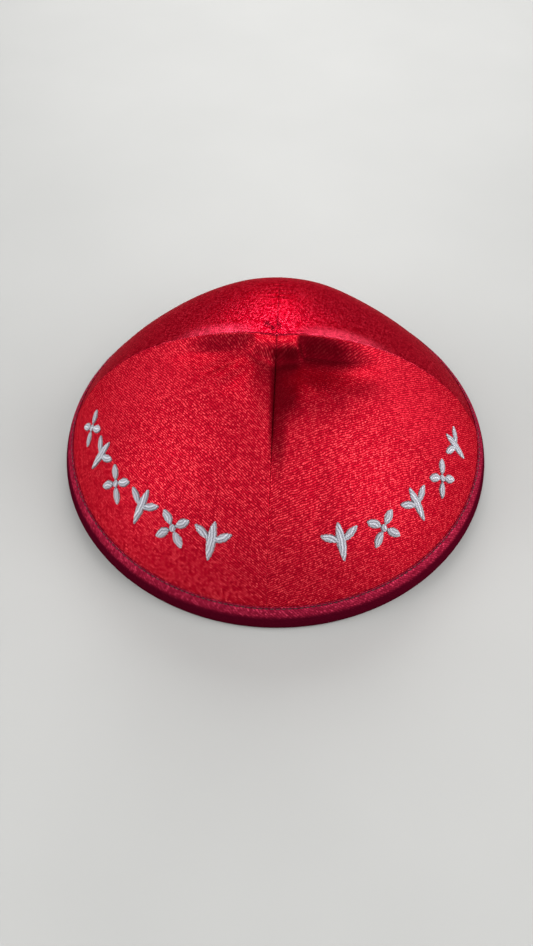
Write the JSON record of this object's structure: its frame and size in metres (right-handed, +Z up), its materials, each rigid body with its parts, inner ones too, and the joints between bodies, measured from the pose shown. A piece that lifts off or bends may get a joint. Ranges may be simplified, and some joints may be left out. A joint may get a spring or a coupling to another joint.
{
  "type": "kippah skullcap",
  "caption": "Shallow domed satin skullcap sewn from curved triangular panels that meet at the crown, with a bias tape folded over the open rim.",
  "frame": {"origin": "centre of the rim on the surface that it stands on", "axes": "+Z up through the crown, -Y out through the front seam, +X out through the right seam as the picture shows it"},
  "size_m": [0.165, 0.165, 0.056],
  "materials": {
    "satin": "red twill satin, shiny outside",
    "bias_tape": "burgundy satin tape, stitched",
    "embroidery_thread": "silver grey rayon thread, used only by the added stitching"
  },
  "bodies": {
    "root": {"panel_front_left": "satin", "panel_front_right": "satin", "panel_back_left": "satin", "panel_back_right": "satin", "rim_binding": "bias_tape"}
  },
  "joints": []
}
